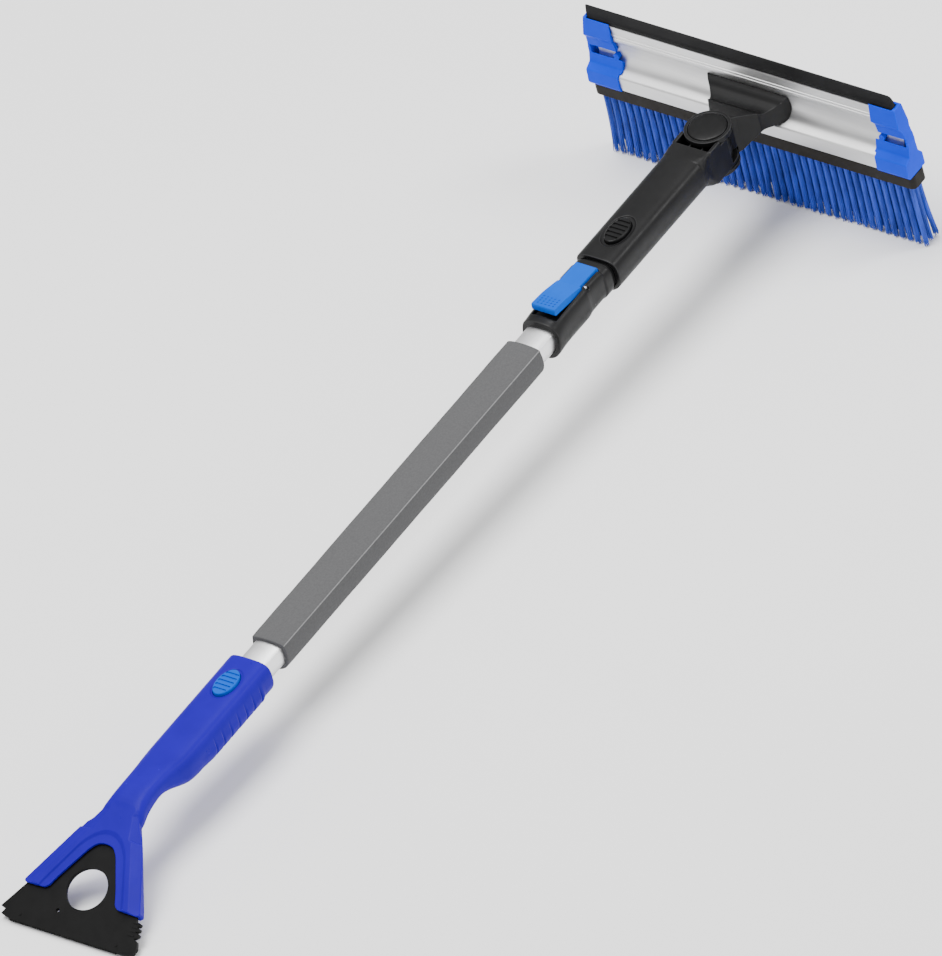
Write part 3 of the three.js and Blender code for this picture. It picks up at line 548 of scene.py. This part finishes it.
keys = [grip_key(-558, 16.4, 13.1, -14.1), grip_key(-558.7, 17.1, 13.8, -14.8), grip_key(-560), grip_key(-568)]
for i in range(7):
    for offset, ridge in ((2.6, 1.2), (1.2, 1.2), (0, 0), (-1.2, 1.2)):
        keys.append(grip_key(-574 - i * 9 + offset, ridge=ridge))
keys += [grip_key(-636, ridge=0.6), grip_key(-642), grip_key(-648, 17.3, 14, -14.7),
         grip_key(-657, 17, 14.2, -12.6, 0.4), grip_key(-666, 15.8, 14.8, -8.2, 2.5),
         grip_key(-675, 14.3, 15.3, -3.6, 5.5), grip_key(-684, 13.5, 15.5, -0.8, 7.3),
         grip_key(-694, 13.6, 15.4, -1.4, 6.6),
         grip_key(-704, 14.6, 13.8, -2.2, 5, 4, 2.2), grip_key(-714, 16.4, 9.1, -3.6, 2.5, 4, 2.4),
         grip_key(-727, 14.6, 3.2, -5.5, -1, 4, 2.4)]
handle = grip("h", keys, steps=3)

# The fork and the blade lie in one plane, tilted down from the grip; ARM is an arm's angle in that plane, and
# SLOPE that of its outer half
TILT, ARM, SLOPE = math.radians(24), math.radians(25.1), math.radians(18)
FORK = Matrix.Translation((-763, 0, -18)) @ Matrix.Rotation(-TILT, 4, "Y") @ Matrix.Diagonal((-1, 1, 1, 1))


def fork_place(a, b, h):
    """A point in the blade's plane: a runs down the blade, b across it, h off its upper face."""
    return FORK @ Vector((a, b, h))


def fork_prism(points, low, high):
    return prism("f", points, low, high, fork_place)


def mirrored(half):
    return half + [(u, -v) for u, v in reversed(half)]


fork_half = [(-64, 8), (-60, 13), (-52, 16.6), (-47, 19.4), (-43.5, 24), (6.5, 47.4), (8.4, 45.4), (8, 29.6),
             (5.4, 26.8), (-3, 23.2), (-27, 10.6), (-31.4, 6.6), (-32.8, 2.4)]
fork_radii = [0, 4, 8, 3, 4, 2, 2, 2, 1.5, 6, 4, 3, 2]
fork = fork_prism(rounded(mirrored(fork_half), fork_radii + fork_radii[::-1]), -5, 5)
bevel(fork, 0.9, 2, 50)
arch = mirrored([(20, 39.5), (0, 31.6), (-30, 18), (-38, 11.5), (-42.5, 4)])
blade_room = mirrored([(-36, 4), (-32, 13), (-10, 30), (3.6, 38), (5.4, 43.9), (13, 48.6), (28.4, 57), (37, 46)])


def arm_slope(side):
    """The room above an arm's outer half, which slopes down to the arm's edge."""
    rings = []
    for t in (-18, 64):
        u, v = -40.2 + t * math.cos(ARM), 17.1 + t * math.sin(ARM)
        ring = []
        for reach, rise in ((-1, 0), (15, 0), (15, 8), (-1, 8)):
            out = reach * math.cos(SLOPE) + rise * math.sin(SLOPE)
            up = 5 - reach * math.sin(SLOPE) + rise * math.cos(SLOPE)
            ring.append(fork_place(u - out * math.sin(ARM), side * (v + out * math.cos(ARM)), up))
        rings.append(ring)
    return loft("a", rings)


def arm_draft(side):
    """The room beside an arm, whose outer side leans in towards its underside, most of all at the waist."""
    rings = []
    for t in (-20, 62):
        ring = []
        lean = 0.075 * (t + 5)
        for out, height in ((lean - 6.5, -9), (14, -9), (14, 9), (lean + 2.5, 9)):
            ring.append(fork_place(-43.5 + t * math.cos(ARM) - out * math.sin(ARM),
                                   side * (24 + t * math.sin(ARM) + out * math.cos(ARM)), height))
        rings.append(ring)
    return loft("a", rings)


def shoulder_facet(side):
    """The flat facet where the neck's shoulder runs out on an arm."""
    rings = []
    for rim, foot in (((-74, 12, 5.4), (-74, 15, -1)), ((-57.6, 9.8, 5), (-53.5, 17.6, 2.9)),
                      ((-40.5, 14.4, 5), (-39.5, 15.4, 4.9))):
        corners = (rim, foot, (foot[0], foot[1] + 12, foot[2] - 3.9), (rim[0], rim[1] + 14, rim[2] + 9))
        rings.append([fork_place(u, side * v, h) for u, v, h in corners])
    return loft("a", rings)


cut(fork, arm_slope(1), arm_slope(-1), arm_draft(1), arm_draft(-1))
join(handle, fork)
arch_room = loft("a", [[fork_place(u + back, v, h) for u, v in rounded(arch, 4)]
                       for h, back in ((4, 3), (5.05, 0), (12, 0))])
cut(handle, shoulder_facet(1), shoulder_facet(-1), arch_room, fork_prism(blade_room, -1.8, 1.8),
    tube("t", 0.15, -640.4, -553), plan_prism("o", oval(-585, 0, 25.8, 15.8), 0, 20),
    plan_prism("r", oval(-585, 0, 30, 19.5), 13.4, 20))
soften(handle, 0.4, 2)
done(handle, "handle_moulding", "pole", ["handle"], royal_plastic, 180)
done(push_button(-585, 6.4, 12), "handle_button_pad", "handle_button", ["handle_button"], azure_plastic,
     35)

outline = [(-35, -3.6), (-35, 3.6), (-31, 12.4), (-10, 29.6), (4, 37.6), (6, 43.6), (28.4, 55.6), (29.4, 51.4),
           (33.4, 53), (35, 46)]
for i in range(44):
    v = 45 - i * 2
    outline += [(35.3, v + 0.7), (36.2, v), (35.3, v - 0.7)]
outline += [(35.6, -46), (34.9, -52), (33.4, -55), (29, -56), (24, -53.6), (23, -50.4)]
for i in range(3):
    u = 20.4 - i * 3.6
    outline += [(u, -53.2 + i * 1.2), (u - 1.6, -53 + i * 1.2), (u - 2, -49.2 + i * 1.2)]
outline += [(9, -45.4), (6, -43.6), (4, -37.6), (-10, -29.6), (-31, -12.4)]


def fork_rod(u, v, radius, low, high, count=64):
    return fork_prism(oval(u, v, radius * 2, radius * 2, count), low, high)


blade = fork_prism(outline, -1.5, 1.5)
cut(blade, fork_rod(0, 0, 15.3, -5, 5, 96), fork_rod(20, 13.5, 1.5, -5, 5, 24))
cut(blade, fork_prism([(33.4, 60), (40, 60), (40, -60), (33.4, -60)], 3.1, 6))
bevel(blade, 0.28, 2, 50)
for u, v in ((30.4, 39), (30.9, -40)):
    join(blade, fork_rod(u, v, 1.0, 0.5, 1.9, 20))
for i in range(4):
    join(blade, fork_prism([(11.5 + i * 3, -45), (12.7 + i * 3, -45), (12.7 + i * 3, -49.6), (11.5 + i * 3, -49.6)],
                           0.5, 1.85))
done(blade, "scraper_blade_moulding", "pole", ["scraper_blade"], blade_plastic, 30)

for side, word in ((1, "left"), (-1, "right")):
    screw = fork_rod(-6, side * 30, 3.6, -7.2, -5.3, 40)
    bevel(screw, 0.5, 2, 50)
    cut(screw, fork_prism([(-8.4, side * 30 - 0.45), (-3.6, side * 30 - 0.45), (-3.6, side * 30 + 0.45),
                           (-8.4, side * 30 + 0.45)], -8, -6.4),
        fork_prism([(-6.45, side * 30 - 2.4), (-5.55, side * 30 - 2.4), (-5.55, side * 30 + 2.4),
                    (-6.45, side * 30 + 2.4)], -8, -6.4))
    join(screw, fork_rod(-6, side * 30, 1.9, -6, 2.7, 24))
    done(screw, f"blade_screw_{word}_steel", "pole", [f"blade_screw_{word}"], steel)


# ---------------------------------------------------------------- head
# The rail's section: a grooved front over the curved web, then the lower channel, the back and the squeegee slot
web = curve_through([(48, 14), (49.2, 7), (48.9, 0), (45.9, -6.4), (40.3, -10.2)], 8)
front = [(45, 31.7), (45.3, 24.2), (44.9, 24.0), (44.9, 23.5), (45.3, 23.2), (45.35, 21.6), (44.95, 21.4),
         (44.95, 20.9), (45.4, 20.6), (45.6, 18.6), (46.4, 16.2)]
lower = [(39.5, -11), (39.3, -12.6), (39.3, -18.6), (39.8, -21.9), (40.8, -22.8), (45.2, -22.8), (45.2, -20.9),
         (42.4, -20.9), (42.4, -14), (54.6, -14), (54.6, -20.9), (51.8, -20.9), (51.8, -22.8), (56, -22.8),
         (56, -13.4), (51.6, -8.4), (51.2, 0), (51.4, 8), (50.8, 15.5), (51.6, 19), (50.8, 31.7), (49.2, 31.7),
         (49.2, 25.2), (50, 24.6), (50, 21.6), (45.95, 21.6), (45.95, 24.6), (46.7, 25.2), (46.7, 31.7)]
rail = side_prism("e", front + web + lower, -126, 126)
cut(rail, *[rod_x(y, 4, 2.2, 44, 56) for y in (-26, -10, 10, 26)],
    *[rod_x(y, 2, 2.6, 44, 56) for y in (-109.6, 109.6)])
done(rail, "head_rail", "head", ["head_extrusion"], rail_metal, 25)

squeegee = side_prism("q", [
    (46.3, 22), (49.6, 22), (49.6, 24.2), (48.9, 25), (48.9, 32.1), (50.2, 32.5), (50.2, 33.4), (49.7, 34.4),
    (48.9, 35.6), (48.9, 42.7), (47.7, 42.7), (46.7, 35.6), (46.0, 34.4), (45.6, 33.6), (45.6, 32.5), (47, 32.1),
    (47, 25), (46.3, 24.2)], -126.8, 126.8)
cut(squeegee, block(40, 60, 125.6, 130, 20, 34.8), block(40, 60, -130, -125.6, 20, 34.8))
corner = [(-122.5, 44), (-122.5, 42.8), (-124.6, 41.6), (-126.2, 38.6), (-126.9, 35), (-129, 35), (-129, 44)]
cut(squeegee, prism("k", curve_through(corner, 5), 40, 56, lambda a, b, h: (h, a, b)))
bevel(squeegee, 0.25, 2, 40)
done(squeegee, "squeegee_rubber", "head", ["squeegee_blade"], rubber, 35)

# End caps: sleeves over the rail's ends, with a window in front and a stud in the rail's hole
cap_outline = rounded([
    (44.2, 34.4), (42.2, 19.5), (44.6, 15.5), (45.6, 8), (45.4, 0), (43.7, -6.4), (38.2, -9.6), (37.6, -20),
    (39, -22.8), (57.6, -22.8), (57.6, -12.6), (54, -7.6), (53.6, 0), (53.8, 8), (53.2, 14.8), (54.2, 19.4),
    (53.2, 34.4)], 0.8)
cavity = ([(44.6, 36), (44.6, 24), (45.1, 18.6)] + [(x - 0.3, z - 0.1) for x, z in web] +
          [(39.1, -12), (39.1, -18.6), (40.3, -24), (56.3, -24), (56.3, -13.2), (51.9, -8.2), (51.5, 0), (51.7, 8),
           (51.1, 15.5), (51.9, 19), (51.1, 36)])
end_room = [(47.4, 13), (48.6, 7), (48.3, 0), (45.6, -6.4), (40, -10.4), (40, -19), (54.6, -19), (54.6, -12),
            (51.2, -7.6), (51, 8), (50.6, 13)]
window = [(30, 0.9), (45.4, 0.9), (49.5, -4.2), (50, -4.2), (50, 7.5), (30, 7.5)]


def end_cap(side):
    def span(a, b):
        return min(a * side, b * side), max(a * side, b * side)

    def slab(start, end, x0, x1, z0, z1):
        y0, y1 = span(start, end)
        return block(x0, x1, y0, y1, z0, z1)

    cap = side_prism("c", cap_outline, *span(104.5, 132.3))
    slant = prism("s", [(side * 132.3, 4), (side * 127.9, 40), (side * 140, 40), (side * 140, 4)], 30, 70,
                  lambda a, b, h: (h, a, b))
    cut(cap, side_prism("v", cavity, *span(95, 126.3)), side_prism("r", end_room, *span(120, 130)), slant,
        slab(95, 107, 30, 70, 19, 40), slab(95, 108, 30, 50, 7.5, 19), side_prism("w", window, *span(95, 130)),
        slab(95, 106, 30, 70, -40, -8), slab(95, 105.5, 50, 70, -9, 20))
    join(cap, rod_x(side * 109.6, 2, 2.3, 46, 52.6))
    return soften(cap, 0.36, 2)


for side, word in ((1, "left"), (-1, "right")):
    done(end_cap(side), f"end_cap_{word}_moulding", "head", [f"end_cap_{word}"], cap_plastic, 60)

plan = []
for cx, cy, start in ((52.2, 128.4, 0), (44.7, 128.4, 1), (44.7, -128.4, 2), (52.2, -128.4, 3)):
    for i in range(9):
        angle = (start + i / 8) * math.pi / 2
        plan.append((cx + math.cos(angle) * 4, cy + math.sin(angle) * 4))
bar = plan_prism("b", plan, -34.1, -23.1)
bevel(bar, 0.6, 3, 50)
join(bar, block(45.6, 51.4, -125, 125, -23.5, -20.4), block(42.8, 54.2, -125, 125, -20.5, -15.5))
done(bar, "brush_bar_moulding", "head", ["brush_bar"], bar_plastic, 30)

# Bristles: each tuft is a bundle of filaments from its own root, leaning a little and fraying at the tip
dice = random.Random(7)
TUFTS, TUFT_RADIUS, ROW_HALF_LENGTH = 43, 1.72, 126.4
FILAMENTS, FILAMENT_RADIUS, FILAMENT_SIDES, FILAMENT_STEPS = 26, 0.40, 6, 6
ROOT_Z, FREE_LENGTH = -33.8, 52.6
GOLDEN_ANGLE = 2.39996


def tufts(x_root, spread, name, node):
    verts, faces = [], []
    sides, steps = FILAMENT_SIDES, FILAMENT_STEPS
    for t in range(TUFTS):
        across = 2 * t / (TUFTS - 1) - 1
        y_root = ROW_HALF_LENGTH * across
        tuft_lean = dice.uniform(-0.45, 0.45) + 2.0 * across ** 5
        tuft_out = spread + dice.uniform(-0.35, 0.35)
        for f in range(FILAMENTS):
            ring = math.sqrt((f + 0.5) / FILAMENTS) * TUFT_RADIUS
            around = f * GOLDEN_ANGLE
            dx, dy = math.cos(around) * ring, math.sin(around) * ring
            length = FREE_LENGTH + dice.uniform(-2.2, 0.2)
            bend = dice.uniform(-0.6, 0.6)
            sway = dice.uniform(-0.5, 0.5)
            base = len(verts)
            for s in range(steps + 1):
                h = s / steps
                fray = h * h
                tip = h ** 6
                cx = x_root + dx * (0.86 + 0.2 * fray) + tuft_out * fray + bend * tip
                cy = y_root + dy * (0.9 + 0.25 * fray) + tuft_lean * fray + sway * tip
                r = FILAMENT_RADIUS * (1 - 0.3 * tip)
                for k in range(sides):
                    a = k / sides * math.tau + f
                    verts.append((cx + math.cos(a) * r, cy + math.sin(a) * r, ROOT_Z - length * h))
            for s in range(steps):
                for k in range(sides):
                    j = (k + 1) % sides
                    a, b = base + s * sides, base + (s + 1) * sides
                    faces.append((a + k, a + j, b + j, b + k))
            faces.append(tuple(base + k for k in range(sides)))
            faces.append(tuple(base + steps * sides + k for k in reversed(range(sides))))
    mesh = bpy.data.meshes.new(name)
    mesh.from_pydata(verts, [], faces)
    obj = bpy.data.objects.new(name, mesh)
    bpy.context.scene.collection.objects.link(obj)
    done(obj, name, "head", [node], filament, 60)


for word, x in (("front", 44.4), ("middle", 48.6), ("rear", 52.8)):
    tufts(x, (x - 48.6) * 0.35, f"bristle_tufts_{word}", f"bristles_{word}")


# ---------------------------------------------------------------- bracket and pivot
def neck_ring(x, half_width, top, bottom):
    corners = [(half_width, top), (-half_width, top), (-half_width, bottom), (half_width, bottom)]
    return [(x, y, z) for y, z in rounded(corners, [0.6, 0.6, 0.8, 0.8], 4)]


# The neck widens from the swivel's hub to the curved flange, which lies against the web
neck_keys = [(7, 8.6, 13.4, -18.2), (14, 8.8, 13.2, -18.2), (17.5, 11, 12.4, -17.4), (28.5, 20.5, 9, -7.8)]
plate_keys = [(28.6, 20.5, 9, -7.8), (31.5, 21.6, 6.6, -7.4), (36, 24, 6, -8.2), (41, 27.8, 7.4, -8.6),
              (45, 31.2, 10.4, -7.8), (49.6, 34.2, 12.9, -6.4)]
bracket = loft("n", [neck_ring(*k) for k in neck_keys + curve_through(plate_keys, 4)[1:]])
join(bracket, rod_z(0, 0, 12.5, -12.1, 11.5), rod_z(0, 0, 16.5, 10.9, 14.8, 96), rod_z(0, 0, 16.5, -18.2, -15.3, 96))
lip = ([(60, -26), (39, -26), (39, -12)] + [(x - 0.3, z) for x, z in reversed(web)] + [(47.7, 15), (60, 15)])
cut(bracket, side_prism("w", lip, -60, 60), rod_z(0, 0, 16.8, -15.3, -12.1), rod_z(0, 0, 14.1, 12.3, 20, 96),
    rod_z(0, 0, 9.6, -5, 13), rod_z(0, 0, 3.3, -20, 0))
soften(bracket, 0.3, 1)
done(bracket, "head_bracket_moulding", "head", ["head_bracket"], black_plastic, 60)

# The round push disc: a low dome turned about the pivot's axis
profile = curve_through([(13.6, 14.75), (13.3, 15.1), (12.5, 15.4), (9.5, 15.75), (5, 15.95), (0.05, 16)], 4)
section = [(8.8, 7), (8.8, 14), (13.6, 14)] + profile
disc_verts, disc_faces, around = [], [], 96
for r, z in [(0.05, 7)] + section:
    for i in range(around):
        disc_verts.append((math.cos(i / around * math.tau) * r, math.sin(i / around * math.tau) * r, z))
for k in range(len(section)):
    for i in range(around):
        j = (i + 1) % around
        disc_faces.append((k * around + i, k * around + j, (k + 1) * around + j, (k + 1) * around + i))
disc_faces.append(tuple(range(around)))
disc_faces.append(tuple(reversed(range(len(disc_verts) - around, len(disc_verts)))))
disc = new_object("d", disc_verts, disc_faces)
cut(disc, rod_z(0, 0, 7.4, 6, 13))
done(disc, "pivot_button_disc", "pivot_button", ["pivot_button"], disc_plastic, 35)

# Bolt, washer and nut of the swivel
bolt = rod_z(0, 0, 3, -24, -4, 48)
join(bolt, rod_z(0, 0, 5.6, -4.7, -1.6, 48))
bevel(bolt, 0.35, 2, 50)
done(bolt, "pivot_bolt_steel", "head", ["pivot_bolt"], steel)

washer = cut(rod_z(0, 0, 6.6, -19.4, -18.5, 64), rod_z(0, 0, 3.3, -20, -18, 48))
bevel(washer, 0.15, 2, 50)
done(washer, "pivot_washer_steel", "head", ["pivot_washer"], steel)

hexagon = [(math.sin(i * math.pi / 3) * 5.4, math.cos(i * math.pi / 3) * 5.4) for i in range(6)]
nut = cut(plan_prism("n", hexagon, -23.25, -19.75), rod_z(0, 0, 3.3, -24, -19, 48))
bevel(nut, 0.3, 2, 40)
done(nut, "pivot_nut_steel", "head", ["pivot_nut"], steel)

for i, y in enumerate((-26, -10, 10, 26)):
    screw = rod_x(y, 4, 3.4, 51.9, 54.4, 40)
    bevel(screw, 0.6, 2, 50)
    cut(screw, block(53.6, 56, y - 0.45, y + 0.45, 4 - 2.3, 4 + 2.3), block(53.6, 56, y - 2.3, y + 2.3, 3.55, 4.45))
    join(screw, rod_x(y, 4, 1.4, 42.6 if abs(y) > 20 else 36.6, 52.6, 24))
    done(screw, f"bracket_screw_{i + 1}_steel", "head", [f"bracket_screw_{i + 1}"], steel)

# CAD nodes that stay as they are, with their own materials
for node, material in (("inner_tube_guide", black_plastic), ("outer_tube_plug", black_plastic),
                       ("lever_spring", steel), ("sleeve_button_spring", steel), ("handle_button_spring", steel),
                       ("pivot_spring", steel)):
    data = frame["nodes"][node].data
    if data.materials:
        data.materials[0] = material
    else:
        data.materials.append(material)


# ---------------------------------------------------------------- floor, light and camera
floor = new_object("floor", [(-9, -9, 0), (9, -9, 0), (9, 9, 0), (-9, 9, 0)], [(0, 1, 2, 3)])
look = Look("pale_floor", 0.85, specular=0.1)
look.color(look.noise(3, detail=2), (0.96, 0.96, 0.96), (0.98, 0.98, 0.98))
floor.data.materials.append(look.mat)

world = bpy.data.worlds.new("studio")
bpy.context.scene.world = world
world.use_nodes = True
world.node_tree.nodes["Background"].inputs["Color"].default_value = (1, 1, 1, 1)
world.node_tree.nodes["Background"].inputs["Strength"].default_value = 0.66

# The photograph's view in the tool's frame: back points at the camera, up is the picture's upright, and aim is
# the point in the middle of the picture
ROT = TOOL.to_3x3()
back = (ROT @ Vector((-0.54147, -0.52694, 0.65509))).normalized()
up = (ROT @ Vector((0.63602, 0.25284, 0.72908))).normalized()
right = up.cross(back).normalized()
up = back.cross(right).normalized()
aim = MM @ Vector((-308.17, 0.49, -40.33))


def area_light(name, direction, distance, size, power):
    data = bpy.data.lights.new(name, "AREA")
    data.shape = "DISK"
    data.size = size
    data.energy = power
    obj = bpy.data.objects.new(name, data)
    place = aim + Vector(direction).normalized() * distance
    obj.location = place
    obj.rotation_euler = (aim - place).to_track_quat("-Z", "Y").to_euler()
    bpy.context.scene.collection.objects.link(obj)


area_light("key", right * -0.55 + up * 0.75 + back * 0.75, 3.0, 1.6, 76)
area_light("fill", right * 0.9 + up * 0.1 + back * 0.6, 3.0, 2.2, 25)
area_light("rim", Vector((0.2, 0.2, 1.0)), 3.0, 1.6, 60)
area_light("crease", ROT @ Vector((0.5445, -0.45, 0.68)), 3.0, 0.9, 30)

# The photograph is a parallel view, so a very long lens stands far off
camera_data = bpy.data.cameras.new("camera")
camera_data.lens = 1620
camera_data.sensor_width = 36
camera_data.clip_start = 1
camera_data.clip_end = 100
camera = bpy.data.objects.new("camera", camera_data)
distance = 28.7886
camera.matrix_world = Matrix.Translation(aim + back * distance) @ Matrix((right, up, back)).transposed().to_4x4()
bpy.context.scene.collection.objects.link(camera)
bpy.context.scene.camera = camera

bpy.context.view_layer.update()
